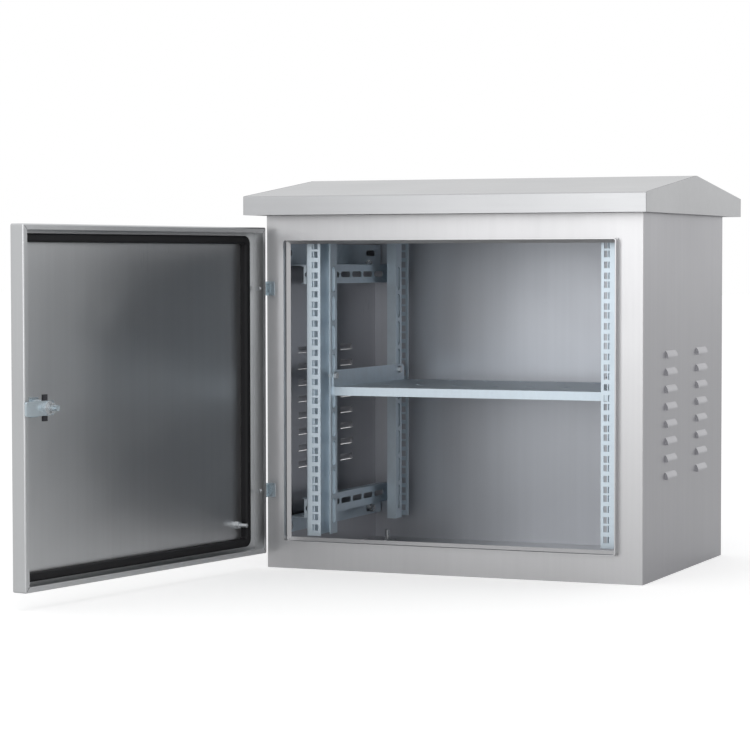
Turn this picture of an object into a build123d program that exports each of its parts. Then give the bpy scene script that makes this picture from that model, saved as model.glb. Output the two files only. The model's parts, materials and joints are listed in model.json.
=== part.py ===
"""Outdoor equipment cabinet with a gabled rain roof, 19-inch rails and a hinged door.

Millimetres. X runs to the right along the front, Y runs back, Z is up.
The origin is the middle of the base, in the plane the cabinet stands on.
The door is described shut and is then turned open about its hinge pins.
"""

import os

from build123d import *

# Shell
BODY_W = 595.0
BODY_D = 420.0
BODY_H = 535.0
SHEET = 1.5
FRONT = -BODY_D / 2
BACK = BODY_D / 2
WALL_IN = BODY_W / 2 - SHEET
FLOOR_TOP = 7.0

# Door opening, measured inside the upstanding rim
OPEN_LEFT = -264.0
OPEN_RIGHT = 258.5
OPEN_BOTTOM = 43.0
OPEN_TOP = 497.0
OPEN_X = (OPEN_LEFT + OPEN_RIGHT) / 2
OPEN_Z = (OPEN_BOTTOM + OPEN_TOP) / 2
OPEN_W = OPEN_RIGHT - OPEN_LEFT
OPEN_H = OPEN_TOP - OPEN_BOTTOM
OPEN_RADIUS = 3.0
RIM_OUT = 12.0
RIM_LIP = 5.0
RIM_LIP_START = 1.5
FRAME_EDGE_RADIUS = 1.2

# Louvres pressed into both sides
LOUVRE_L = 50.0
LOUVRE_H = 11.0
LOUVRE_OUT = 4.5
LOUVRE_WALL = 1.2
LOUVRE_Y = (-75.0, 88.0)
LOUVRE_Z = 143.5
LOUVRE_PITCH = 25.6
LOUVRE_ROWS = 8

# Rain roof and the ribs that carry it
ROOF_SIDE = 18.0
ROOF_FRONT = 45.0
ROOF_FASCIA = 28.0
ROOF_RISE = 30.0
ROOF_LIP = 14.0
ROOF_BEND = 1.8
ROOF_HALF_D = BODY_D / 2 + ROOF_FRONT
ROOF_W = BODY_W + 2 * ROOF_SIDE
RIB_X = 200.0
RIB_SHEET = 2.0
RIB_HALF_D = 190.0
RIB_FOOT = 25.0
ROOF_BOLT_Y = 120.0

# Rack rails, spaced for 19-inch equipment
UNIT = 44.45
UNITS = 10
FIRST_UNIT_Z = 59.8
HOLE_X = 465.1 / 2
HOLE = 9.5
HOLE_STEP = 15.875
RAIL_SHEET = 2.0
RAIL_BOTTOM = 47.0
RAIL_TOP = 500.0
RAIL_Y = 177.0
RAIL_FREE_X = 223.5
RAIL_FACE_W = 23.5
RAIL_HEM = 3.4
RAIL_WEB_X = 235.8
RAIL_LIP_X = 222.7
RAIL_DEPTH = 59.0
RAIL_MOUTH = 34.0
RAIL_RADIUS = 1.9
RAIL_SLOT_L = 38.5
RAIL_SLOT_W = 11.0
RAIL_SLOT_Y = 130.5

# Perforated cross bars joining the front and rear rails
BAR_H = 28.0
BAR_SHEET = 1.5
BAR_WEB_X = 252.0
BAR_FLANGE = 14.0
BAR_RELIEF = 20.0
BAR_TAB_X = 240.5
BAR_TAB_HOLE_X = 247.3
BAR_TAB_HOLE_R = 4.25
BAR_HALF_L = RAIL_Y - RAIL_SHEET - RAIL_HEM
BAR_LOW_Z = 74.0
BAR_HIGH_Z = 431.0
BAR_SLOT_L = 38.5
BAR_SLOT_W = 9.0
BAR_SLOTS = 7
BAR_SLOT_FIRST = -147.6
BAR_BOLT_X = 261.0
BAR_BOLT_Y = 100.0

# Wall supports that carry the cross bars
SUPPORT_X = 285.0
SUPPORT_HALF_L = 205.0
SUPPORT_LEDGE_HALF_L = 165.0
SUPPORT_LOW_H = 25.5
SUPPORT_HIGH_H = 33.5
SUPPORT_SLOT_Y = 163.0
SUPPORT_SLOT_L = 38.0
SUPPORT_SLOT_W = 9.6
SUPPORT_LOW_SLOT_Z = 58.0
SUPPORT_HIGH_SLOT_Z = 478.6

# Shelf
SHELF_HALF_W = RAIL_LIP_X - RAIL_SHEET / 2
SHELF_FRONT = -136.0
SHELF_BACK = 151.0
SHELF_TOP = 273.0
SHELF_LIP = 13.0
SHELF_SHEET = 1.5
SHELF_FLANGE_TOP = 298.5
SHELF_FLANGE_INSET = 1.0
SHELF_FLANGE_RADIUS = 8.0
SHELF_SLOT_L = 38.0
SHELF_SLOT_W = 6.5
SHELF_SLOT_PITCH = 60.0
SHELF_SLOTS = 7
SHELF_SLOT_ROWS = (-24.0, 118.0)
SHELF_BOLT_Y = 128.5
SHELF_BOLT_Z = 290.0

# Door, described shut
DOOR_LEFT = -296.0
DOOR_RIGHT = 272.0
DOOR_BOTTOM = 24.0
DOOR_TOP = 516.5
DOOR_LIP_Y = FRONT - 2.0
DOOR_DEPTH = 23.0
DOOR_LIP = 8.0
DOOR_RADIUS = 2.5
DOOR_BEND = 2.0
DOOR_X = (DOOR_LEFT + DOOR_RIGHT) / 2
DOOR_Z = (DOOR_BOTTOM + DOOR_TOP) / 2
DOOR_W = DOOR_RIGHT - DOOR_LEFT
DOOR_H = DOOR_TOP - DOOR_BOTTOM
DOOR_OUTER_Y = DOOR_LIP_Y - DOOR_DEPTH
DOOR_PANEL_Y = DOOR_OUTER_Y + SHEET
DOOR_OPEN_ANGLE = 99.0
GASKET_W = 12.0
GASKET_GAP = 0.3
GASKET_RADIUS = 12.0
GASKET_CROWN = 3.5

# Hinges
HINGE_X = -300.5
HINGE_Y = -225.0
HINGE_Z = (118.0, 424.5)
HINGE_R = 4.3
HINGE_LEAF = 1.5
HINGE_LEAF_RIGHT = -284.0
HINGE_EAR = 3.0
HINGE_H = 21.2
EYE_PLAY = 0.1
PIN_R = 2.0
PIN_FIT = 0.05
PIN_HEAD_R = 3.2
PIN_HEAD_H = 1.0
EYE_SCREW_R = 2.0
EYE_SCREW_L = 3.3
EYE_SCREW_HEAD_R = 3.6
EYE_SCREW_HEAD_H = 2.2

# Quarter-turn lock, distances taken from the inner face of the door sheet
LOCK_X = 232.0
LOCK_Z = 270.25
LOCK_FLANGE_R = 14.0
LOCK_FLANGE_T = 3.5
BARREL_R = 11.0
BARREL_TOP = 21.5
LOCK_NUT_AF = 27.0
LOCK_NUT_T = 5.0
COLLAR_T = 3.0
COLLAR_LUG = 18.0
COLLAR_LUG_W = 9.0
CORE_R = 6.5
CORE_FIT = 0.05
CORE_SQUARE = 8.0
KEY_DEPTH = 6.0
KEY_R = 4.5
CAM_LIFT = 27.5
CAM_T = 3.0
CAM_W = 20.0
CAM_LENGTH = 46.5
CAM_HEEL = 11.0
CAM_STUD_R = 4.0
CAM_STUD_TOP = 46.0
CAM_WASHER_R = 9.0
CAM_NUT_AF = 13.0
CAM_NUT_T = 6.5

# Threads, nuts and washers
THREAD_GAP = 0.3
M6_R = 3.0
M6_AF = 10.0
M6_NUT_H = 5.0
M6_HEAD_H = 4.0
WASHER_R = 6.0
WASHER_T = 1.6
STUD_L = 20.0
FLOOR_STUD = (-243.0, 133.0)
DOOR_STUD = (-246.0, 70.0)

# Floor holes
ANCHOR_X = 245.0
ANCHOR_Y = 165.0
ANCHOR_R = 5.5
CABLE_X = 120.0
CABLE_R = 25.0
GROMMET_FLANGE_R = 30.0
GROMMET_LIP = 2.5
GROMMET_WEB = 1.5


def facing_front(y):
    """Plane at depth y seen from the front, drawn in X and Z."""
    return Plane(origin=(0, y, 0), x_dir=(1, 0, 0), z_dir=(0, -1, 0))


def facing_back(y):
    """Plane at depth y facing the back, drawn in X and downwards."""
    return Plane(origin=(0, y, 0), x_dir=(1, 0, 0), z_dir=(0, 1, 0))


def facing_right(x):
    """Plane at x seen from the right, drawn in Y and Z."""
    return Plane(origin=(x, 0, 0), x_dir=(0, 1, 0), z_dir=(1, 0, 0))


def sheet_outline(path, thickness):
    """Corners of a sheet folded square along path, half its thickness to either side."""
    points = [Vector(*place) for place in path]
    steps = [(after - before).normalized() for before, after in zip(points, points[1:])]
    sides = [Vector(-step.Y, step.X) for step in steps]
    shifts = [sides[0]]
    for before, after in zip(sides, sides[1:]):
        shifts.append(before + after)
    shifts.append(sides[-1])
    left = [point + shift * (thickness / 2) for point, shift in zip(points, shifts)]
    right = [point - shift * (thickness / 2) for point, shift in zip(points, shifts)]
    return left + right[::-1]


def discs(planes, radius, bore, height):
    """Round discs standing on the planes, each with a bore."""
    with BuildPart() as group:
        for plane in planes:
            with BuildSketch(plane):
                Circle(radius)
                Circle(bore, mode=Mode.SUBTRACT)
            extrude(amount=height)
    return group


def nuts(planes, across_flats, bore, height):
    """Hexagon nuts standing on the planes."""
    with BuildPart() as group:
        for plane in planes:
            with BuildSketch(plane):
                RegularPolygon(across_flats / 2, 6, major_radius=False)
                Circle(bore, mode=Mode.SUBTRACT)
            extrude(amount=height)
    return group


def hex_bolts(planes, length):
    """Hexagon bolts with their heads standing on the planes and their shanks below."""
    with BuildPart() as group:
        for plane in planes:
            with BuildSketch(plane):
                RegularPolygon(M6_AF / 2, 6, major_radius=False)
            extrude(amount=M6_HEAD_H)
            with BuildSketch(plane):
                Circle(M6_R)
            extrude(amount=-length)
    return group


body = {}
door = {}

# Front frame: a flat face with a rim round the opening that stands out towards the
# door, and a lip inside the rim that slopes back into the cabinet
with BuildPart() as front_frame:
    with BuildSketch(facing_front(FRONT)):
        with Locations((0, BODY_H / 2)):
            Rectangle(BODY_W, BODY_H)
    extrude(amount=-SHEET)
    upright_edges = front_frame.edges().filter_by(Axis.Z)
    fillet(upright_edges.filter_by_position(Axis.Y, FRONT - 0.1, FRONT + 0.1), FRAME_EDGE_RADIUS)
    with BuildSketch(facing_front(FRONT)):
        with Locations((OPEN_X, OPEN_Z)):
            RectangleRounded(OPEN_W, OPEN_H, OPEN_RADIUS)
    extrude(amount=-SHEET, mode=Mode.SUBTRACT)
    with BuildSketch(facing_front(FRONT - RIM_OUT)):
        with Locations((OPEN_X, OPEN_Z)):
            RectangleRounded(OPEN_W + 2 * SHEET, OPEN_H + 2 * SHEET, OPEN_RADIUS + SHEET)
            RectangleRounded(OPEN_W, OPEN_H, OPEN_RADIUS, mode=Mode.SUBTRACT)
    extrude(amount=-RIM_OUT - SHEET)
    with BuildSketch(facing_back(FRONT - RIM_LIP_START)):
        with Locations((OPEN_X, -OPEN_Z)):
            Rectangle(OPEN_W + 2 * SHEET, OPEN_H + 2 * SHEET)
    extrude(amount=RIM_LIP, taper=45)
    with BuildSketch(facing_back(FRONT - RIM_LIP_START)):
        with Locations((OPEN_X, -OPEN_Z)):
            Rectangle(OPEN_W, OPEN_H)
    extrude(amount=RIM_LIP, taper=45, mode=Mode.SUBTRACT)
body["front_frame"] = front_frame


def louvre(side, y, z, inset):
    """Sketch of one louvre's section, closed at the wall and open below."""
    start = y + side * (LOUVRE_L / 2 - inset)
    out = LOUVRE_OUT - inset
    high = LOUVRE_H - inset
    wall = -2 * inset
    plane = Plane(origin=(side * BODY_W / 2, start, z), x_dir=(side, 0, 0), z_dir=(0, -side, 0))
    with BuildSketch(plane) as section:
        with BuildLine():
            Polyline((0, high), (wall, high), (wall, 0), (out, 0))
            ThreePointArc((out, 0), (out * 0.78, high * 0.56), (0, high))
        make_face()
    return section.sketch


def side_panel(side):
    """Side wall with its pressed louvres: side is -1 for left and 1 for right."""
    with BuildPart() as panel:
        with Locations((side * (BODY_W - SHEET) / 2, SHEET / 2, BODY_H / 2)):
            Box(SHEET, BODY_D - SHEET, BODY_H)
        for y in LOUVRE_Y:
            for row in range(LOUVRE_ROWS):
                z = LOUVRE_Z + row * LOUVRE_PITCH
                hood = louvre(side, y, z, 0.01)
                extrude(hood, amount=LOUVRE_L)
                hollow = louvre(side, y, z, LOUVRE_WALL)
                extrude(hollow, amount=LOUVRE_L - 2 * LOUVRE_WALL, mode=Mode.SUBTRACT)
    return panel


body["left_side_panel"] = side_panel(-1)
body["right_side_panel"] = side_panel(1)

with BuildPart() as back_panel:
    with Locations((0, BACK - SHEET / 2, BODY_H / 2)):
        Box(2 * WALL_IN, SHEET, BODY_H)
body["back_panel"] = back_panel

# Floor: a tray turned upside down, so that its skirt stands on the ground
with BuildPart() as floor_panel:
    with Locations((0, 0, FLOOR_TOP / 2)):
        Box(2 * WALL_IN, BODY_D - 2 * SHEET, FLOOR_TOP)
        Box(2 * WALL_IN - 2 * SHEET, BODY_D - 4 * SHEET, FLOOR_TOP, mode=Mode.SUBTRACT)
    with Locations((0, 0, FLOOR_TOP - SHEET / 2)):
        Box(2 * WALL_IN, BODY_D - 2 * SHEET, SHEET)
    with BuildSketch(Plane.XY.offset(FLOOR_TOP)):
        with GridLocations(2 * ANCHOR_X, 2 * ANCHOR_Y, 2, 2):
            Circle(ANCHOR_R)
        with GridLocations(2 * CABLE_X, 0, 2, 1):
            Circle(CABLE_R)
    extrude(amount=-FLOOR_TOP, mode=Mode.SUBTRACT)
body["floor_panel"] = floor_panel

with BuildPart() as cable_grommets:
    for side in (-1, 1):
        with BuildSketch(Plane.XY.offset(FLOOR_TOP - SHEET - GROMMET_LIP)):
            with Locations((side * CABLE_X, 0)):
                Circle(GROMMET_FLANGE_R)
        extrude(amount=SHEET + 2 * GROMMET_LIP)
        with BuildSketch(Plane.XY.offset(FLOOR_TOP - SHEET)):
            with Locations((side * CABLE_X, 0)):
                Circle(GROMMET_FLANGE_R + 1)
                Circle(CABLE_R - THREAD_GAP, mode=Mode.SUBTRACT)
        extrude(amount=SHEET, mode=Mode.SUBTRACT)
        with BuildSketch(Plane.XY.offset(FLOOR_TOP - SHEET / 2 + GROMMET_WEB / 2)):
            with Locations((side * CABLE_X, 0)):
                Circle(CABLE_R - 4)
        extrude(amount=2 * GROMMET_LIP, mode=Mode.SUBTRACT)
body["cable_grommets"] = cable_grommets

with BuildPart() as top_panel:
    with Locations((0, 0, BODY_H - SHEET / 2)):
        Box(2 * WALL_IN, BODY_D - 2 * SHEET, SHEET)
    with BuildSketch(Plane.XY.offset(BODY_H)):
        with GridLocations(2 * (RIB_X - RIB_FOOT / 2), 2 * ROOF_BOLT_Y, 2, 2):
            Circle(M6_R + THREAD_GAP)
    extrude(amount=-SHEET, mode=Mode.SUBTRACT)
body["top_panel"] = top_panel


def gable(inset, half_depth, foot):
    """Gable outline in Y and Z, set in from the outside of the roof by a sheet thickness."""
    slope = ROOF_RISE / ROOF_HALF_D
    ridge = BODY_H + ROOF_FASCIA + ROOF_RISE - inset * (1 + slope**2) ** 0.5
    eave = ridge - half_depth * slope
    return [(-half_depth, foot), (half_depth, foot), (half_depth, eave), (0, ridge), (-half_depth, eave)]


with BuildPart() as rain_roof:
    with BuildSketch(facing_right(-ROOF_W / 2)):
        with BuildLine():
            Polyline(*gable(0, ROOF_HALF_D, BODY_H), close=True)
        make_face()
    extrude(amount=ROOF_W)
    corners = rain_roof.edges().filter_by(Axis.Z)
    eaves = rain_roof.edges().filter_by(Axis.X).filter_by_position(
        Axis.Z, BODY_H + ROOF_FASCIA - 0.1, BODY_H + ROOF_FASCIA + 0.1
    )
    fillet(corners + eaves, ROOF_BEND)
    with BuildSketch(facing_right(-ROOF_W / 2 + SHEET)):
        with BuildLine():
            Polyline(*gable(SHEET, ROOF_HALF_D - SHEET, BODY_H + SHEET), close=True)
        make_face()
    extrude(amount=ROOF_W - 2 * SHEET, mode=Mode.SUBTRACT)
    with Locations((0, 0, BODY_H)):
        Box(ROOF_W - 2 * ROOF_LIP, 2 * (ROOF_HALF_D - ROOF_LIP), 4 * SHEET, mode=Mode.SUBTRACT)
body["rain_roof"] = rain_roof


def roof_rib(side):
    """Gable-shaped rib with a foot turned inwards: side is -1 for left and 1 for right."""
    with BuildPart() as rib:
        with BuildSketch(facing_right(side * RIB_X)):
            with BuildLine():
                Polyline(*gable(SHEET, RIB_HALF_D, BODY_H), close=True)
            make_face()
        extrude(amount=side * RIB_SHEET)
        with Locations((side * (RIB_X - RIB_FOOT / 2), 0, BODY_H + RIB_SHEET / 2)):
            Box(RIB_FOOT, 2 * RIB_HALF_D, RIB_SHEET)
        with BuildSketch(Plane.XY.offset(BODY_H + RIB_SHEET)):
            with Locations((side * (RIB_X - RIB_FOOT / 2), 0)):
                with GridLocations(0, 2 * ROOF_BOLT_Y, 1, 2):
                    Circle(M6_R + THREAD_GAP)
        extrude(amount=-RIB_SHEET, mode=Mode.SUBTRACT)
    return rib


body["left_roof_rib"] = roof_rib(-1)
body["right_roof_rib"] = roof_rib(1)

roof_bolt_heads = []
roof_nut_tops = []
for side in (-1, 1):
    for end in (-1, 1):
        x = side * (RIB_X - RIB_FOOT / 2)
        y = end * ROOF_BOLT_Y
        roof_bolt_heads.append(Plane(origin=(x, y, BODY_H + RIB_SHEET), z_dir=(0, 0, 1)))
        roof_nut_tops.append(Plane(origin=(x, y, BODY_H - SHEET), z_dir=(0, 0, -1)))
body["roof_bolts"] = hex_bolts(roof_bolt_heads, 12)
body["roof_nuts"] = nuts(roof_nut_tops, M6_AF, M6_R + THREAD_GAP, M6_NUT_H)


def rail(side, end):
    """One rack rail: side is -1 left or 1 right, end is -1 front or 1 rear."""
    half = RAIL_SHEET / 2
    face = RAIL_Y - half
    hem = face - RAIL_HEM
    back = RAIL_Y - RAIL_DEPTH + half
    outer = RAIL_FREE_X + RAIL_FACE_W
    path = [
        (RAIL_FREE_X, face),
        (outer - half, face),
        (outer - half, hem),
        (RAIL_WEB_X, hem),
        (RAIL_WEB_X, back),
        (RAIL_LIP_X, back),
        (RAIL_LIP_X, RAIL_Y - RAIL_MOUTH),
    ]
    holes = []
    for unit in range(UNITS + 1):
        for step in (-HOLE_STEP, 0, HOLE_STEP):
            z = FIRST_UNIT_Z + unit * UNIT + step
            if RAIL_BOTTOM + HOLE < z < RAIL_TOP - HOLE:
                holes.append((side * HOLE_X, z))
    slots = [(end * RAIL_SLOT_Y, FIRST_UNIT_Z + (unit + 0.5) * UNIT) for unit in range(UNITS - 1)]
    with BuildPart() as channel:
        with BuildSketch(Plane.XY.offset(RAIL_BOTTOM)) as plan:
            with BuildLine():
                Polyline(*sheet_outline([(side * x, end * y) for x, y in path], RAIL_SHEET), close=True)
            make_face()
            bend = Vector(side * outer, end * RAIL_Y)
            fillet(plan.vertices().sort_by_distance(bend)[0], RAIL_RADIUS)
        extrude(amount=RAIL_TOP - RAIL_BOTTOM)
        with BuildSketch(facing_front(end * face)):
            with Locations(*holes):
                Rectangle(HOLE, HOLE)
        extrude(amount=RAIL_SHEET, both=True, mode=Mode.SUBTRACT)
        with BuildSketch(facing_right(side * RAIL_LIP_X)):
            with Locations(*slots):
                SlotOverall(RAIL_SLOT_L, RAIL_SLOT_W, rotation=90)
        extrude(amount=RAIL_SHEET, both=True, mode=Mode.SUBTRACT)
    return channel


body["front_left_rail"] = rail(-1, -1)
body["front_right_rail"] = rail(1, -1)
body["rear_left_rail"] = rail(-1, 1)
body["rear_right_rail"] = rail(1, 1)


def cross_bar(side, bottom):
    """Perforated channel between two rails, with a tab turned in at each end."""
    half = BAR_SHEET / 2
    low = bottom + half
    high = bottom + BAR_H - half
    path = [
        (BAR_WEB_X + BAR_FLANGE, low),
        (BAR_WEB_X + half, low),
        (BAR_WEB_X + half, high),
        (BAR_WEB_X + BAR_FLANGE, high),
    ]
    slots = [(BAR_SLOT_FIRST + step * UNIT, bottom + BAR_H / 2) for step in range(BAR_SLOTS)]
    tab_w = BAR_WEB_X + BAR_SHEET - BAR_TAB_X
    with BuildPart() as bar:
        with BuildSketch(facing_front(-BAR_HALF_L + BAR_RELIEF)):
            with BuildLine():
                Polyline(*sheet_outline([(side * x, z) for x, z in path], BAR_SHEET), close=True)
            make_face()
        extrude(amount=-2 * (BAR_HALF_L - BAR_RELIEF))
        with Locations((side * (BAR_WEB_X + half), 0, bottom + BAR_H / 2)):
            Box(BAR_SHEET, 2 * BAR_HALF_L, BAR_H)
        for end in (-1, 1):
            with BuildSketch(facing_front(end * (BAR_HALF_L - half))):
                with Locations((side * (BAR_TAB_X + tab_w / 2), bottom + BAR_H / 2)):
                    Rectangle(tab_w, BAR_H)
                with Locations((side * BAR_TAB_HOLE_X, bottom + BAR_H / 2)):
                    Circle(BAR_TAB_HOLE_R, mode=Mode.SUBTRACT)
            extrude(amount=half, both=True)
        with BuildSketch(facing_right(side * (BAR_WEB_X + half))):
            with Locations(*slots):
                SlotOverall(BAR_SLOT_L, BAR_SLOT_W)
        extrude(amount=BAR_SHEET, both=True, mode=Mode.SUBTRACT)
        with BuildSketch(Plane.XY.offset(bottom)):
            with Locations((side * BAR_BOLT_X, 0)):
                with GridLocations(0, 2 * BAR_BOLT_Y, 1, 2):
                    Circle(M6_R + THREAD_GAP)
        extrude(amount=BAR_H, mode=Mode.SUBTRACT)
    return bar


body["upper_left_cross_bar"] = cross_bar(-1, BAR_HIGH_Z)
body["upper_right_cross_bar"] = cross_bar(1, BAR_HIGH_Z)
body["lower_left_cross_bar"] = cross_bar(-1, BAR_LOW_Z)
body["lower_right_cross_bar"] = cross_bar(1, BAR_LOW_Z)


def wall_support(side, ledge_z, up, height, slot_z):
    """Z-shaped support on a side wall. The ledge carries or holds down the cross bar."""
    half = SHEET / 2
    near = ledge_z + up * half
    far = ledge_z + up * (height - half)
    path = [(BAR_WEB_X, near), (SUPPORT_X + half, near), (SUPPORT_X + half, far), (WALL_IN, far)]
    ledge_w = SUPPORT_X - BAR_WEB_X
    with BuildPart() as support:
        with BuildSketch(facing_front(-SUPPORT_HALF_L)):
            with BuildLine():
                Polyline(*sheet_outline([(side * x, z) for x, z in path], SHEET), close=True)
            make_face()
        extrude(amount=-2 * SUPPORT_HALF_L)
        for end in (-1, 1):
            y = end * (SUPPORT_HALF_L + SUPPORT_LEDGE_HALF_L) / 2
            with Locations((side * (BAR_WEB_X + ledge_w / 2), y, near)):
                Box(ledge_w, SUPPORT_HALF_L - SUPPORT_LEDGE_HALF_L, 4 * SHEET, mode=Mode.SUBTRACT)
        with BuildSketch(facing_right(side * (SUPPORT_X + half))):
            with Locations((-SUPPORT_SLOT_Y, slot_z), (SUPPORT_SLOT_Y, slot_z)):
                SlotOverall(SUPPORT_SLOT_L, SUPPORT_SLOT_W)
        extrude(amount=SHEET, both=True, mode=Mode.SUBTRACT)
        with BuildSketch(Plane.XY.offset(near)):
            with Locations((side * BAR_BOLT_X, 0)):
                with GridLocations(0, 2 * BAR_BOLT_Y, 1, 2):
                    Circle(M6_R + THREAD_GAP)
        extrude(amount=SHEET, both=True, mode=Mode.SUBTRACT)
    return support


LOW_LEDGE = BAR_LOW_Z
HIGH_LEDGE = BAR_HIGH_Z + BAR_H
body["upper_left_wall_support"] = wall_support(-1, HIGH_LEDGE, 1, SUPPORT_HIGH_H, SUPPORT_HIGH_SLOT_Z)
body["upper_right_wall_support"] = wall_support(1, HIGH_LEDGE, 1, SUPPORT_HIGH_H, SUPPORT_HIGH_SLOT_Z)
body["lower_left_wall_support"] = wall_support(-1, LOW_LEDGE, -1, SUPPORT_LOW_H, SUPPORT_LOW_SLOT_Z)
body["lower_right_wall_support"] = wall_support(1, LOW_LEDGE, -1, SUPPORT_LOW_H, SUPPORT_LOW_SLOT_Z)

# Bolts through the bars and the ledges, and bolts from the lower supports into the walls
bar_bolt_heads = []
bar_nut_seats = []
support_washer_seats = []
support_bolt_heads = []
for side in (-1, 1):
    for end in (-1, 1):
        for ledge_z, up in ((LOW_LEDGE, 1), (HIGH_LEDGE, -1)):
            x = side * BAR_BOLT_X
            y = end * BAR_BOLT_Y
            inside = ledge_z + up * BAR_SHEET
            outside = ledge_z - up * SHEET
            bar_bolt_heads.append(Plane(origin=(x, y, inside), z_dir=(0, 0, up)))
            bar_nut_seats.append(Plane(origin=(x, y, outside), z_dir=(0, 0, -up)))
        y = end * SUPPORT_SLOT_Y
        near = side * SUPPORT_X
        raised = side * (SUPPORT_X - WASHER_T)
        support_washer_seats.append(Plane(origin=(near, y, SUPPORT_LOW_SLOT_Z), z_dir=(-side, 0, 0)))
        support_bolt_heads.append(Plane(origin=(raised, y, SUPPORT_LOW_SLOT_Z), z_dir=(-side, 0, 0)))
body["bar_bolts"] = hex_bolts(bar_bolt_heads, 10)
body["bar_nuts"] = nuts(bar_nut_seats, M6_AF, M6_R + THREAD_GAP, M6_NUT_H)
body["support_bolts"] = hex_bolts(support_bolt_heads, WALL_IN - SUPPORT_X + WASHER_T)
body["support_washers"] = discs(support_washer_seats, WASHER_R, M6_R + THREAD_GAP, WASHER_T)

# Shelf: slanted slots in two rows, edges turned down in front and behind, sides turned up
with BuildPart() as shelf:
    shelf_y = (SHELF_FRONT + SHELF_BACK) / 2
    shelf_d = SHELF_BACK - SHELF_FRONT
    with Locations((0, shelf_y, SHELF_TOP - SHELF_SHEET / 2)):
        Box(2 * SHELF_HALF_W, shelf_d, SHELF_SHEET)
    for y in (SHELF_FRONT + SHELF_SHEET / 2, SHELF_BACK - SHELF_SHEET / 2):
        with Locations((0, y, SHELF_TOP - SHELF_LIP / 2)):
            Box(2 * SHELF_HALF_W, SHELF_SHEET, SHELF_LIP)
    with BuildSketch(Plane.XY.offset(SHELF_TOP)):
        for row_y in SHELF_SLOT_ROWS:
            with Locations((0, row_y)):
                with GridLocations(SHELF_SLOT_PITCH, 0, SHELF_SLOTS, 1):
                    SlotOverall(SHELF_SLOT_L, SHELF_SLOT_W, rotation=-45)
    extrude(amount=-SHELF_SHEET, mode=Mode.SUBTRACT)
    for side in (-1, 1):
        with BuildSketch(facing_right(side * (SHELF_HALF_W - SHELF_SHEET / 2))):
            with Locations((shelf_y, (SHELF_TOP + SHELF_FLANGE_TOP) / 2 - SHELF_FLANGE_RADIUS / 2)):
                RectangleRounded(
                    shelf_d - 2 * SHELF_FLANGE_INSET,
                    SHELF_FLANGE_TOP - SHELF_TOP + SHELF_FLANGE_RADIUS,
                    SHELF_FLANGE_RADIUS,
                )
            with Locations((shelf_y, SHELF_TOP - SHELF_SHEET - SHELF_FLANGE_RADIUS)):
                Rectangle(shelf_d, 2 * SHELF_FLANGE_RADIUS, mode=Mode.SUBTRACT)
            with Locations((-SHELF_BOLT_Y, SHELF_BOLT_Z), (SHELF_BOLT_Y, SHELF_BOLT_Z)):
                Circle(M6_R + THREAD_GAP, mode=Mode.SUBTRACT)
        extrude(amount=SHELF_SHEET / 2, both=True)
body["shelf"] = shelf

shelf_bolt_heads = []
shelf_nut_seats = []
for side in (-1, 1):
    for end in (-1, 1):
        y = end * SHELF_BOLT_Y
        inside = side * (SHELF_HALF_W - SHELF_SHEET)
        outside = side * (RAIL_LIP_X + RAIL_SHEET / 2)
        shelf_bolt_heads.append(Plane(origin=(inside, y, SHELF_BOLT_Z), z_dir=(-side, 0, 0)))
        shelf_nut_seats.append(Plane(origin=(outside, y, SHELF_BOLT_Z), z_dir=(side, 0, 0)))
body["shelf_bolts"] = hex_bolts(shelf_bolt_heads, 10)
body["shelf_nuts"] = nuts(shelf_nut_seats, M6_AF, M6_R + THREAD_GAP, M6_NUT_H)

# Earth stud on the floor, with its nut and washer
floor_seat = Plane(origin=(FLOOR_STUD[0], FLOOR_STUD[1], FLOOR_TOP), z_dir=(0, 0, 1))
with BuildPart() as floor_earth_stud:
    with BuildSketch(floor_seat):
        Circle(M6_R)
    extrude(amount=STUD_L)
    chamfer(floor_earth_stud.edges().sort_by(Axis.Z)[-1], 0.6)
body["floor_earth_stud"] = floor_earth_stud
body["floor_earth_washer"] = discs([floor_seat], WASHER_R, M6_R + THREAD_GAP, WASHER_T)
body["floor_earth_nut"] = nuts([floor_seat.offset(WASHER_T)], M6_AF, M6_R + THREAD_GAP, M6_NUT_H)


def hinge_bracket(z):
    """Fixed half of a hinge: a leaf on the front frame and two ears round the pin."""
    leaf_left = HINGE_X - HINGE_R
    leaf_face = FRONT - HINGE_LEAF
    with BuildPart() as bracket:
        with Locations(((leaf_left + HINGE_LEAF_RIGHT) / 2, FRONT - HINGE_LEAF / 2, z)):
            Box(HINGE_LEAF_RIGHT - leaf_left, HINGE_LEAF, HINGE_H)
        for ear_bottom in (z - HINGE_H / 2, z + HINGE_H / 2 - HINGE_EAR):
            with BuildSketch(Plane.XY.offset(ear_bottom)):
                with Locations((HINGE_X, HINGE_Y)):
                    Circle(HINGE_R)
                with Locations((HINGE_X, (HINGE_Y + leaf_face) / 2)):
                    Rectangle(2 * HINGE_R, leaf_face - HINGE_Y)
                with Locations((HINGE_X, HINGE_Y)):
                    Circle(PIN_R + PIN_FIT, mode=Mode.SUBTRACT)
            extrude(amount=HINGE_EAR)
    return bracket


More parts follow.
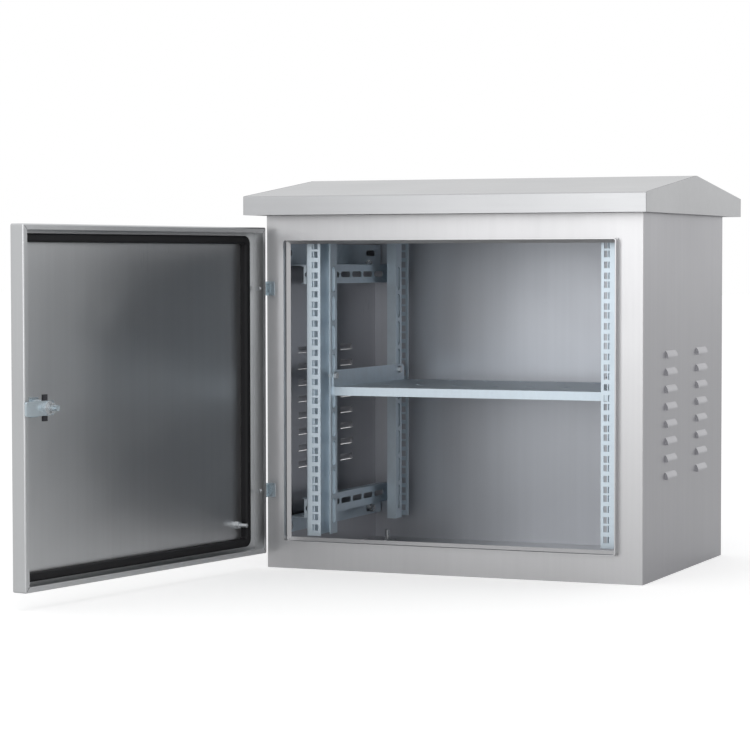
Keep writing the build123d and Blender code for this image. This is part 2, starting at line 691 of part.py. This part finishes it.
def hinge_eye(z):
    """Moving half of a hinge: a bored block with a flat pad against the door's edge."""
    height = HINGE_H - 2 * HINGE_EAR - 2 * EYE_PLAY
    with BuildPart() as eye:
        with BuildSketch(Plane.XY.offset(z - height / 2)):
            with Locations((HINGE_X, HINGE_Y)):
                Circle(HINGE_R)
            with Locations(((HINGE_X + DOOR_LEFT) / 2, HINGE_Y)):
                Rectangle(DOOR_LEFT - HINGE_X, 2 * HINGE_R)
            with Locations((HINGE_X, HINGE_Y)):
                Circle(PIN_R + PIN_FIT, mode=Mode.SUBTRACT)
        extrude(amount=height)
        with BuildSketch(facing_right(DOOR_LEFT)):
            with Locations((HINGE_Y, z)):
                Circle(EYE_SCREW_R + THREAD_GAP)
        extrude(amount=SHEET - EYE_SCREW_L, mode=Mode.SUBTRACT)
    return eye


body["lower_hinge_bracket"] = hinge_bracket(HINGE_Z[0])
body["upper_hinge_bracket"] = hinge_bracket(HINGE_Z[1])
door["lower_hinge_eye"] = hinge_eye(HINGE_Z[0])
door["upper_hinge_eye"] = hinge_eye(HINGE_Z[1])

with BuildPart() as hinge_pins:
    for z in HINGE_Z:
        with Locations((HINGE_X, HINGE_Y, z)):
            Cylinder(PIN_R, HINGE_H + PIN_HEAD_H)
        for end in (-1, 1):
            with Locations((HINGE_X, HINGE_Y, z + end * (HINGE_H + PIN_HEAD_H) / 2)):
                Cylinder(PIN_HEAD_R, PIN_HEAD_H)
body["hinge_pins"] = hinge_pins

with BuildPart() as hinge_screws:
    for z in HINGE_Z:
        with BuildSketch(facing_right(DOOR_LEFT + SHEET)):
            with Locations((HINGE_Y, z)):
                Circle(EYE_SCREW_HEAD_R)
        extrude(amount=EYE_SCREW_HEAD_H)
        with BuildSketch(facing_right(DOOR_LEFT + SHEET)):
            with Locations((HINGE_Y, z)):
                Circle(EYE_SCREW_R)
        extrude(amount=-EYE_SCREW_L + THREAD_GAP)
door["hinge_screws"] = hinge_screws

# Door: a folded tray whose edges end in narrow lips facing the cabinet
with BuildPart() as door_pan:
    with BuildSketch(facing_front(DOOR_LIP_Y)):
        with Locations((DOOR_X, DOOR_Z)):
            RectangleRounded(DOOR_W, DOOR_H, DOOR_RADIUS)
    extrude(amount=DOOR_DEPTH)
    fillet(door_pan.edges().filter_by(Axis.Y, reverse=True), DOOR_BEND)
    with BuildSketch(facing_front(DOOR_LIP_Y - SHEET)):
        with Locations((DOOR_X, DOOR_Z)):
            RectangleRounded(DOOR_W - 2 * SHEET, DOOR_H - 2 * SHEET, DOOR_RADIUS - SHEET)
    extrude(amount=DOOR_DEPTH - 2 * SHEET, mode=Mode.SUBTRACT)
    with BuildSketch(facing_front(DOOR_LIP_Y)):
        with Locations((DOOR_X, DOOR_Z)):
            Rectangle(DOOR_W - 2 * DOOR_LIP, DOOR_H - 2 * DOOR_LIP)
    extrude(amount=2 * SHEET, mode=Mode.SUBTRACT)
    with BuildSketch(facing_front(DOOR_PANEL_Y)):
        with Locations((LOCK_X, LOCK_Z)):
            Circle(BARREL_R + THREAD_GAP)
    extrude(amount=2 * SHEET, mode=Mode.SUBTRACT)
    with BuildSketch(facing_right(DOOR_LEFT)):
        with Locations((HINGE_Y, HINGE_Z[0]), (HINGE_Y, HINGE_Z[1])):
            Circle(EYE_SCREW_R + THREAD_GAP)
    extrude(amount=2 * SHEET, both=True, mode=Mode.SUBTRACT)
door["door_pan"] = door_pan

# Gasket in the door, centred on the rim of the opening
with BuildPart() as door_gasket:
    gasket_top = FRONT - RIM_OUT - GASKET_GAP
    ring_w = OPEN_W + SHEET
    ring_h = OPEN_H + SHEET
    with BuildSketch(facing_front(gasket_top)):
        with Locations((OPEN_X, OPEN_Z)):
            RectangleRounded(ring_w + GASKET_W, ring_h + GASKET_W, GASKET_RADIUS)
            RectangleRounded(
                ring_w - GASKET_W, ring_h - GASKET_W, GASKET_RADIUS / 3, mode=Mode.SUBTRACT
            )
    extrude(amount=gasket_top - DOOR_PANEL_Y)
    crown = door_gasket.edges().filter_by_position(Axis.Y, gasket_top - 0.1, gasket_top + 0.1)
    fillet(crown, GASKET_CROWN)
door["door_gasket"] = door_gasket


def lock_plane(lift):
    """Plane across the lock's axis, at a height above the inner face of the door sheet."""
    return Plane(origin=(LOCK_X, DOOR_PANEL_Y + lift, LOCK_Z), x_dir=(1, 0, 0), z_dir=(0, 1, 0))


with BuildPart() as lock_housing:
    with BuildSketch(lock_plane(-SHEET)):
        Circle(LOCK_FLANGE_R)
    extrude(amount=-LOCK_FLANGE_T)
    chamfer(lock_housing.edges().sort_by(Axis.Y)[0], 1)
    with BuildSketch(lock_plane(-SHEET)):
        Circle(BARREL_R)
    extrude(amount=SHEET + BARREL_TOP)
    with BuildSketch(lock_plane(BARREL_TOP)):
        Circle(CORE_R + CORE_FIT)
    extrude(amount=-BARREL_TOP - SHEET - LOCK_FLANGE_T, mode=Mode.SUBTRACT)
door["lock_housing"] = lock_housing
door["lock_nut"] = nuts([lock_plane(0)], LOCK_NUT_AF, BARREL_R + THREAD_GAP, LOCK_NUT_T)

# Stop collar on the end of the barrel, with a lug above and a lug below
with BuildPart() as lock_collar:
    with BuildSketch(lock_plane(BARREL_TOP)):
        Circle(BARREL_R)
        Rectangle(COLLAR_LUG_W, 2 * COLLAR_LUG)
        Circle(CORE_R + THREAD_GAP, mode=Mode.SUBTRACT)
    extrude(amount=COLLAR_T)
door["lock_collar"] = lock_collar

# Core that the key turns, with a square for the tongue and a threaded end
with BuildPart() as lock_core:
    with BuildSketch(lock_plane(-SHEET - LOCK_FLANGE_T)):
        Circle(CORE_R)
    extrude(amount=CAM_LIFT + SHEET + LOCK_FLANGE_T)
    with BuildSketch(lock_plane(CAM_LIFT)):
        Rectangle(CORE_SQUARE, CORE_SQUARE)
    extrude(amount=CAM_T)
    with BuildSketch(lock_plane(CAM_LIFT + CAM_T)):
        Circle(CAM_STUD_R)
    extrude(amount=CAM_STUD_TOP - CAM_LIFT - CAM_T)
    with BuildSketch(lock_plane(-SHEET - LOCK_FLANGE_T)):
        RegularPolygon(KEY_R, 3)
    extrude(amount=KEY_DEPTH, mode=Mode.SUBTRACT)
door["lock_core"] = lock_core

with BuildPart() as lock_cam:
    with BuildSketch(lock_plane(CAM_LIFT)):
        with Locations(((CAM_LENGTH - CAM_HEEL) / 2, 0)):
            RectangleRounded(CAM_LENGTH + CAM_HEEL, CAM_W, 3)
        Rectangle(CORE_SQUARE, CORE_SQUARE, mode=Mode.SUBTRACT)
    extrude(amount=CAM_T)
door["lock_cam"] = lock_cam
door["cam_washer"] = discs(
    [lock_plane(CAM_LIFT + CAM_T)], CAM_WASHER_R, CAM_STUD_R + THREAD_GAP, WASHER_T
)
door["cam_nut"] = nuts(
    [lock_plane(CAM_LIFT + CAM_T + WASHER_T)], CAM_NUT_AF, CAM_STUD_R + THREAD_GAP, CAM_NUT_T
)

# Earth stud on the door, with its nut and washer
door_seat = Plane(
    origin=(DOOR_STUD[0], DOOR_PANEL_Y, DOOR_STUD[1]), x_dir=(1, 0, 0), z_dir=(0, 1, 0)
)
with BuildPart() as door_earth_stud:
    with BuildSketch(door_seat):
        Circle(M6_R)
    extrude(amount=STUD_L)
    chamfer(door_earth_stud.edges().sort_by(Axis.Y)[-1], 0.6)
door["door_earth_stud"] = door_earth_stud
door["door_earth_washer"] = discs([door_seat], WASHER_R, M6_R + THREAD_GAP, WASHER_T)
door["door_earth_nut"] = nuts([door_seat.offset(WASHER_T)], M6_AF, M6_R + THREAD_GAP, M6_NUT_H)

# The hinge line, about which everything on the door is turned open
hinge_line = Axis((HINGE_X, HINGE_Y, 0), (0, 0, 1))
nodes = {name: builder.part for name, builder in body.items()}
for name, builder in door.items():
    nodes[name] = builder.part.rotate(hinge_line, -DOOR_OPEN_ANGLE)

os.makedirs("parts", exist_ok=True)
for name, node in nodes.items():
    node.label = name
    export_step(node, f"parts/{name}.step")
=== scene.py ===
import json
import math

import bmesh
import bpy
from mathutils import Matrix, Vector


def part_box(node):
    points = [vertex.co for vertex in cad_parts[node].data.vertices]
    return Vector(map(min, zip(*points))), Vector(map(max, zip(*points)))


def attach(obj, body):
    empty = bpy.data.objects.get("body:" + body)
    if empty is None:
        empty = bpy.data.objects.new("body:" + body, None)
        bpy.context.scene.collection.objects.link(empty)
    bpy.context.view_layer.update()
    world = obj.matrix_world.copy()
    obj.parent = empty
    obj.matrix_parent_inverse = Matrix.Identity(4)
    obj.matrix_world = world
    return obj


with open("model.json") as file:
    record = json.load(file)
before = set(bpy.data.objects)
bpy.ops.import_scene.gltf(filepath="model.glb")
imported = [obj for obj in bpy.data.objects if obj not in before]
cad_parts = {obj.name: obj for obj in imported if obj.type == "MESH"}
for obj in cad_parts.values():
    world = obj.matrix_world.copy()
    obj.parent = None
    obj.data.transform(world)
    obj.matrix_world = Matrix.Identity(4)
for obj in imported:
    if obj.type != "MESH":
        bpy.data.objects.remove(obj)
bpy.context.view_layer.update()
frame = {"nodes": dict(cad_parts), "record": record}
bpy.ops.object.select_all(action="DESELECT")
nodes = frame["nodes"]
scene = bpy.context.scene

# Camera at the photograph's place, for a frame of 750 by 750 pixels
CAMERA_PLACE = (1.39333, -3.77831, 0.46636)
CAMERA_YAW = -0.400939
CAMERA_PITCH = 0.0439479
CAMERA_ROLL = -0.0012652
FOCAL_PIXELS = 2598.06
FRAME_PIXELS = 750
SENSOR = 36.0
NEAREST_SEEN = 0.1
FARTHEST_SEEN = 60

# Hinge axis, and the turn that takes the shut door to where it stands open
HINGE = Vector((-0.3005, -0.225, 0))
DOOR_OPENING = math.radians(99)
DOOR_TURN = (
    Matrix.Translation(HINGE)
    @ Matrix.Rotation(-DOOR_OPENING, 4, "Z")
    @ Matrix.Translation(-HINGE)
)

# Colours of the sheets, the fasteners and the soft parts
STAINLESS = (0.53, 0.53, 0.54)
BACK_STAINLESS = (0.53, 0.55, 0.59)
DOOR_STAINLESS = (0.58, 0.59, 0.60)
# Painted shade: the side panels and the roof take darker copies of the same stainless, for the shade that
# falls on them
SHADED_SIDE_STAINLESS = (0.405, 0.405, 0.425)
SHADED_ROOF_STAINLESS = (0.465, 0.47, 0.48)
ZINC = (0.64, 0.73, 0.80)
BRIGHT_ZINC = (0.56, 0.64, 0.69)
PLATING = (0.60, 0.62, 0.64)
JOINT_SHADE = (0.16, 0.16, 0.17)
FOAM_BLACK = (0.006, 0.006, 0.007)
RUBBER_BLACK = (0.02, 0.02, 0.02)
COLLAR_BLACK = (0.03, 0.03, 0.035)

# Noise: scales are per metre, and a ramp spreads the middle of its range
RAMP_START = 0.3
RAMP_END = 0.7
PLAIN_DETAIL = 2.0
RICH_DETAIL = 3.0
NOISE_ROUGHNESS = 0.6
METAL_RELIEF = 0.0002
SOFT_RELIEF = 0.0004

# Brushed stainless: fine lines, broad bands and cloudy patches
LINES_ACROSS = 1800.0
LINES_ALONG = 14.0
BANDS_ACROSS = 90.0
BANDS_ALONG = 1.2
CLOUDS = 5.0
CLOUD_DULLING = 0.06
LINE_DULLING = 0.03
BRUSHED_DARKER = 0.95
BRUSHED_LIGHTER = 1.04
BRUSHED_STRENGTH = 0.05
BACK_STRENGTH = 0.03
BACK_METALLIC = 0.8

# Zinc plating: faint patches and a fine grit
ZINC_METALLIC = 0.75
PATCHES = (55.0, 55.0, 30.0)
PATCH_DETAIL = 4.0
PATCH_ROUGHNESS = 0.7
GRIT = 700.0
ZINC_DARKER = 0.82
ZINC_LIGHTER = 1.12
PATCH_SHINIER = 0.07
PATCH_DULLER = 0.1
ZINC_STRENGTH = 0.15

# Rubber, foam and dark paint
DULL_SPECULAR = 0.25
DULL_LIGHTER = 1.8


def node(tree, kind, **values):
    made = tree.nodes.new(kind)
    for name, value in values.items():
        setattr(made, name, value)
    return made


def ramp(tree, source, low_value, high_value):
    """Colour ramp from one grey to another."""
    made = node(tree, "ShaderNodeValToRGB")
    made.color_ramp.elements[0].position = RAMP_START
    made.color_ramp.elements[0].color = (low_value, low_value, low_value, 1)
    made.color_ramp.elements[1].position = RAMP_END
    made.color_ramp.elements[1].color = (high_value, high_value, high_value, 1)
    tree.links.new(source, made.inputs["Fac"])
    return made.outputs["Color"]


def noise(tree, stretch, detail, rough=NOISE_ROUGHNESS):
    """Noise in object coordinates, stretched by a scale for each axis."""
    place = node(tree, "ShaderNodeTexCoord")
    mapping = node(tree, "ShaderNodeMapping")
    mapping.inputs["Scale"].default_value = stretch
    made = node(tree, "ShaderNodeTexNoise")
    made.inputs["Scale"].default_value = 1.0
    made.inputs["Detail"].default_value = detail
    made.inputs["Roughness"].default_value = rough
    tree.links.new(place.outputs["Object"], mapping.inputs["Vector"])
    tree.links.new(mapping.outputs["Vector"], made.inputs["Vector"])
    return made.outputs["Fac"]


def mixed(tree, factor, first, second):
    """Colour between two colours."""
    made = node(tree, "ShaderNodeMix", data_type="RGBA")
    made.inputs["A"].default_value = (*first, 1)
    made.inputs["B"].default_value = (*second, 1)
    tree.links.new(factor, made.inputs["Factor"])
    return made.outputs["Result"]


def tinted(colour, factor):
    """Colour made darker or lighter, no lighter than white."""
    return tuple(min(1.0, part * factor) for part in colour)


def new_material(name):
    """New material, with its tree and its shader."""
    made = bpy.data.materials.new(name)
    made.use_nodes = True
    return made, made.node_tree, made.node_tree.nodes["Principled BSDF"]


def relief(tree, shader, height, strength, distance):
    """Fine relief on the surface, from a noise."""
    made = node(tree, "ShaderNodeBump")
    made.inputs["Strength"].default_value = strength
    made.inputs["Distance"].default_value = distance
    tree.links.new(height, made.inputs["Height"])
    tree.links.new(made.outputs["Normal"], shader.inputs["Normal"])


def brushed(name, colour, rough, grain, strength=BRUSHED_STRENGTH, metallic=1.0):
    """Brushed metal with its grain along one axis."""
    made, tree, shader = new_material(name)
    shader.inputs["Metallic"].default_value = metallic
    fine = [LINES_ACROSS, LINES_ACROSS, LINES_ACROSS]
    broad = [BANDS_ACROSS, BANDS_ACROSS, BANDS_ACROSS]
    fine["XYZ".index(grain)] = LINES_ALONG
    broad["XYZ".index(grain)] = BANDS_ALONG
    lines = noise(tree, fine, PLAIN_DETAIL)
    bands = noise(tree, broad, RICH_DETAIL)
    clouds = noise(tree, (CLOUDS, CLOUDS, CLOUDS), PLAIN_DETAIL)
    dark = tinted(colour, BRUSHED_DARKER)
    light = tinted(colour, BRUSHED_LIGHTER)
    tree.links.new(mixed(tree, bands, dark, light), shader.inputs["Base Color"])
    add = node(tree, "ShaderNodeMath", operation="ADD")
    tree.links.new(ramp(tree, lines, rough - LINE_DULLING, rough + LINE_DULLING), add.inputs[0])
    tree.links.new(ramp(tree, clouds, 0.0, CLOUD_DULLING), add.inputs[1])
    tree.links.new(add.outputs[0], shader.inputs["Roughness"])
    relief(tree, shader, lines, strength, METAL_RELIEF)
    return made


def spangled(name, colour, rough):
    """Zinc-plated metal with faint cloudy patches."""
    made, tree, shader = new_material(name)
    shader.inputs["Metallic"].default_value = ZINC_METALLIC
    patches = noise(tree, PATCHES, PATCH_DETAIL, PATCH_ROUGHNESS)
    grit = noise(tree, (GRIT, GRIT, GRIT), PLAIN_DETAIL)
    dark = tinted(colour, ZINC_DARKER)
    light = tinted(colour, ZINC_LIGHTER)
    tree.links.new(mixed(tree, patches, dark, light), shader.inputs["Base Color"])
    shine = ramp(tree, patches, rough - PATCH_SHINIER, rough + PATCH_DULLER)
    tree.links.new(shine, shader.inputs["Roughness"])
    relief(tree, shader, grit, ZINC_STRENGTH, METAL_RELIEF)
    return made


def dull(name, colour, rough, grain_size, strength):
    """Rubber, foam or dark paint with a fine grain."""
    made, tree, shader = new_material(name)
    shader.inputs["Roughness"].default_value = rough
    shader.inputs["Specular IOR Level"].default_value = DULL_SPECULAR
    grit = noise(tree, (grain_size, grain_size, grain_size), RICH_DETAIL)
    light = tinted(colour, DULL_LIGHTER)
    tree.links.new(mixed(tree, grit, colour, light), shader.inputs["Base Color"])
    relief(tree, shader, grit, strength, SOFT_RELIEF)
    return made


steel_upright = brushed("stainless_upright", STAINLESS, rough=0.30, grain="Z")
steel_across = brushed("stainless_across", STAINLESS, rough=0.30, grain="X")
steel_back = brushed(
    "stainless_back", BACK_STAINLESS, rough=0.34, grain="Z", strength=BACK_STRENGTH, metallic=BACK_METALLIC
)
steel_door = brushed("stainless_door", DOOR_STAINLESS, rough=0.30, grain="Z")
# Painted shade: darker copies of the stainless on the side panels and the roof
shaded_steel_side = brushed("stainless_side_painted_shade", SHADED_SIDE_STAINLESS, rough=0.30, grain="Z")
shaded_steel_roof = brushed("stainless_roof_painted_shade", SHADED_ROOF_STAINLESS, rough=0.32, grain="X")
zinc = spangled("zinc_sheet", ZINC, rough=0.42)
bright = spangled("bright_hardware", BRIGHT_ZINC, rough=0.20)
plated = spangled("plated_fastener", PLATING, rough=0.28)
foam = dull("gasket_foam", FOAM_BLACK, rough=0.55, grain_size=900.0, strength=0.3)
rubber = dull("grommet_rubber", RUBBER_BLACK, rough=0.5, grain_size=400.0, strength=0.2)
joint_line = spangled("joint_line", JOINT_SHADE, rough=0.5)
collar = dull("dark_collar", COLLAR_BLACK, rough=0.35, grain_size=300.0, strength=0.1)

by_slot = {
    "zinc_sheet": zinc,
    "plated_fastener": plated,
    "bright_hardware": bright,
    "dark_collar": collar,
    "gasket_foam": foam,
    "grommet_rubber": rubber,
    "stainless_sheet": steel_upright,
}
by_node = {
    "rain_roof": shaded_steel_roof,
    "back_panel": steel_back,
    "door_pan": steel_door,
    "right_side_panel": shaded_steel_side,
    "left_side_panel": shaded_steel_side,
    "floor_panel": steel_across,
    "top_panel": steel_across,
}
for entry in frame["record"]["subparts"]:
    name = entry["node"]
    finish = by_node.get(name, by_slot[entry["material_slot"]])
    mesh = nodes[name].data
    mesh.materials.clear()
    mesh.materials.append(finish)

# Sheets, hardware and fasteners have slightly rounded edges
ROUND_EDGES = 0.0004
ROUND_STEPS = 2
SHARP_FROM = math.radians(40)
ROUNDED_SLOTS = ("stainless_sheet", "zinc_sheet", "bright_hardware", "plated_fastener")
for entry in frame["record"]["subparts"]:
    if entry["material_slot"] in ROUNDED_SLOTS:
        bevel = nodes[entry["node"]].modifiers.new("round_edges", "BEVEL")
        bevel.width = ROUND_EDGES
        bevel.segments = ROUND_STEPS
        bevel.limit_method = "ANGLE"
        bevel.angle_limit = SHARP_FROM

# Joint lines: mitres in the door's lip and the joints between the roof and its gables
SEAM_HEIGHT = 0.0002
MITRE_WIDTH = 0.0006
GABLE_SEAM_WIDTH = 0.0010
MITRE_START = 0.0025
MITRE_END = 0.008
DOOR_LIP_Y = -0.212
DOOR_SIDES = (-0.296, 0.272)
DOOR_ENDS = (0.024, 0.5165)
GABLE_SEAM_INSET = 0.0012
EAVE_GAP = 0.004
RIDGE_GAP = 0.0035
EAVE_Z = 0.563


def strips(name, body_name, runs, width):
    """Thin strips lying on a surface, each from a start to an end with the surface's normal."""
    shape = bmesh.new()
    for start, end, normal in runs:
        along = end - start
        across = normal.cross(along).normalized()
        axes = Matrix((along, across * width, normal * SEAM_HEIGHT)).transposed().to_4x4()
        bmesh.ops.create_cube(shape, size=1, matrix=Matrix.Translation((start + end) / 2) @ axes)
    mesh = bpy.data.meshes.new(name)
    shape.to_mesh(mesh)
    shape.free()
    made = bpy.data.objects.new(name, mesh)
    scene.collection.objects.link(made)
    mesh.materials.append(joint_line)
    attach(made, body_name)


mitres = []
facing_cabinet = (DOOR_TURN.to_3x3() @ Vector((0, 1, 0))).normalized()
for x, x_way in zip(DOOR_SIDES, (1, -1)):
    for z, z_way in zip(DOOR_ENDS, (1, -1)):
        outer = Vector((x + x_way * MITRE_START, DOOR_LIP_Y, z + z_way * MITRE_START))
        inner = Vector((x + x_way * MITRE_END, DOOR_LIP_Y, z + z_way * MITRE_END))
        mitres.append((DOOR_TURN @ outer, DOOR_TURN @ inner, facing_cabinet))
strips("door_lip_mitres", "door", mitres, MITRE_WIDTH)

roof_low, roof_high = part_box("rain_roof")
slope = (roof_high.z - EAVE_Z) / roof_high.y
gable_seams = []
for x in (roof_low.x + GABLE_SEAM_INSET, roof_high.x - GABLE_SEAM_INSET):
    for way in (-1, 1):
        eave_y = roof_high.y - EAVE_GAP
        eave = Vector((x, way * eave_y, roof_high.z - slope * eave_y))
        ridge = Vector((x, way * RIDGE_GAP, roof_high.z - slope * RIDGE_GAP))
        gable_seams.append((eave, ridge, Vector((0, way * slope, 1)).normalized()))
strips("roof_gable_seams", "cabinet", gable_seams, GABLE_SEAM_WIDTH)

# Floor and backdrop
FLOOR_SIZE = 60
FLOOR_GREY = 0.80
FLOOR_ROUGH = 0.9
FLOOR_WHITE = 0.40
ROOM_LEVEL = 0.75
WHITE = (1, 1, 1)

# Lights: a large one in front and one above
FRONT_BOX_PLACE = (-0.10, -3.0, 0.95)
FRONT_BOX_AIM = (0, 0, 0.75)
FRONT_BOX_WIDTH = 2.1
FRONT_BOX_HEIGHT = 1.7
FRONT_BOX_POWER = 15.5
TOP_BOX_PLACE = (0.2, -0.6, 2.8)
TOP_BOX_AIM = (0, 0, 0.4)
TOP_BOX_SIDE = 2.5
TOP_BOX_POWER = 6


def background_rays(tree):
    """One for camera, mirror and glass rays, which see the white background, else zero."""
    seen = node(tree, "ShaderNodeLightPath")
    first = node(tree, "ShaderNodeMath", operation="MAXIMUM")
    second = node(tree, "ShaderNodeMath", operation="MAXIMUM")
    tree.links.new(seen.outputs["Is Camera Ray"], first.inputs[0])
    tree.links.new(seen.outputs["Is Glossy Ray"], first.inputs[1])
    tree.links.new(first.outputs[0], second.inputs[0])
    tree.links.new(seen.outputs["Is Transmission Ray"], second.inputs[1])
    return second.outputs[0]


def softbox(name, place, aim, width, height, power):
    """Rectangular light aimed at a point."""
    light = bpy.data.lights.new(name, "AREA")
    light.shape = "RECTANGLE"
    light.size = width
    light.size_y = height
    light.energy = power
    made = bpy.data.objects.new(name, light)
    scene.collection.objects.link(made)
    made.location = place
    made.rotation_mode = "QUATERNION"
    made.rotation_quaternion = (Vector(aim) - Vector(place)).to_track_quat("-Z", "Y")
    made.visible_camera = False


bpy.ops.mesh.primitive_plane_add(size=FLOOR_SIZE, location=(0, 0, 0))
floor = bpy.context.object
floor.name = "studio_floor"
floor_paint, tree, shader = new_material("studio_floor")
shader.inputs["Base Color"].default_value = (FLOOR_GREY, FLOOR_GREY, FLOOR_GREY, 1)
shader.inputs["Roughness"].default_value = FLOOR_ROUGH
shader.inputs["Emission Color"].default_value = (*WHITE, 1)
# The floor is lifted for camera rays alone
seen = node(tree, "ShaderNodeLightPath")
lift = node(tree, "ShaderNodeMath", operation="MULTIPLY")
lift.inputs[1].default_value = FLOOR_WHITE
tree.links.new(seen.outputs["Is Camera Ray"], lift.inputs[0])
tree.links.new(lift.outputs[0], shader.inputs["Emission Strength"])
floor.data.materials.append(floor_paint)

world = bpy.data.worlds.new("studio")
scene.world = world
world.use_nodes = True
world.cycles.sampling_method = "NONE"
tree = world.node_tree
background = tree.nodes["Background"]
background.inputs["Strength"].default_value = 1.0
room_grey = (ROOM_LEVEL, ROOM_LEVEL, ROOM_LEVEL)
tree.links.new(mixed(tree, background_rays(tree), room_grey, WHITE), background.inputs["Color"])

softbox("front_box", FRONT_BOX_PLACE, FRONT_BOX_AIM, FRONT_BOX_WIDTH, FRONT_BOX_HEIGHT, FRONT_BOX_POWER)
softbox("top_box", TOP_BOX_PLACE, TOP_BOX_AIM, TOP_BOX_SIDE, TOP_BOX_SIDE, TOP_BOX_POWER)

camera = bpy.data.cameras.new("camera")
camera_object = bpy.data.objects.new("camera", camera)
scene.collection.objects.link(camera_object)
camera.sensor_width = SENSOR
camera.lens = FOCAL_PIXELS / FRAME_PIXELS * SENSOR
camera.clip_start = NEAREST_SEEN
camera.clip_end = FARTHEST_SEEN
sin_yaw, cos_yaw = math.sin(CAMERA_YAW), math.cos(CAMERA_YAW)
sin_pitch, cos_pitch = math.sin(CAMERA_PITCH), math.cos(CAMERA_PITCH)
forward = Vector((sin_yaw * cos_pitch, cos_yaw * cos_pitch, -sin_pitch))
right = Vector((cos_yaw, -sin_yaw, 0))
up = right.cross(forward)
right_rolled = right * math.cos(CAMERA_ROLL) + up * math.sin(CAMERA_ROLL)
up_rolled = up * math.cos(CAMERA_ROLL) - right * math.sin(CAMERA_ROLL)
turn = Matrix((right_rolled, up_rolled, -forward)).transposed()
camera_object.matrix_world = Matrix.Translation(CAMERA_PLACE) @ turn.to_4x4()
scene.camera = camera_object
scene.view_settings.view_transform = "Standard"
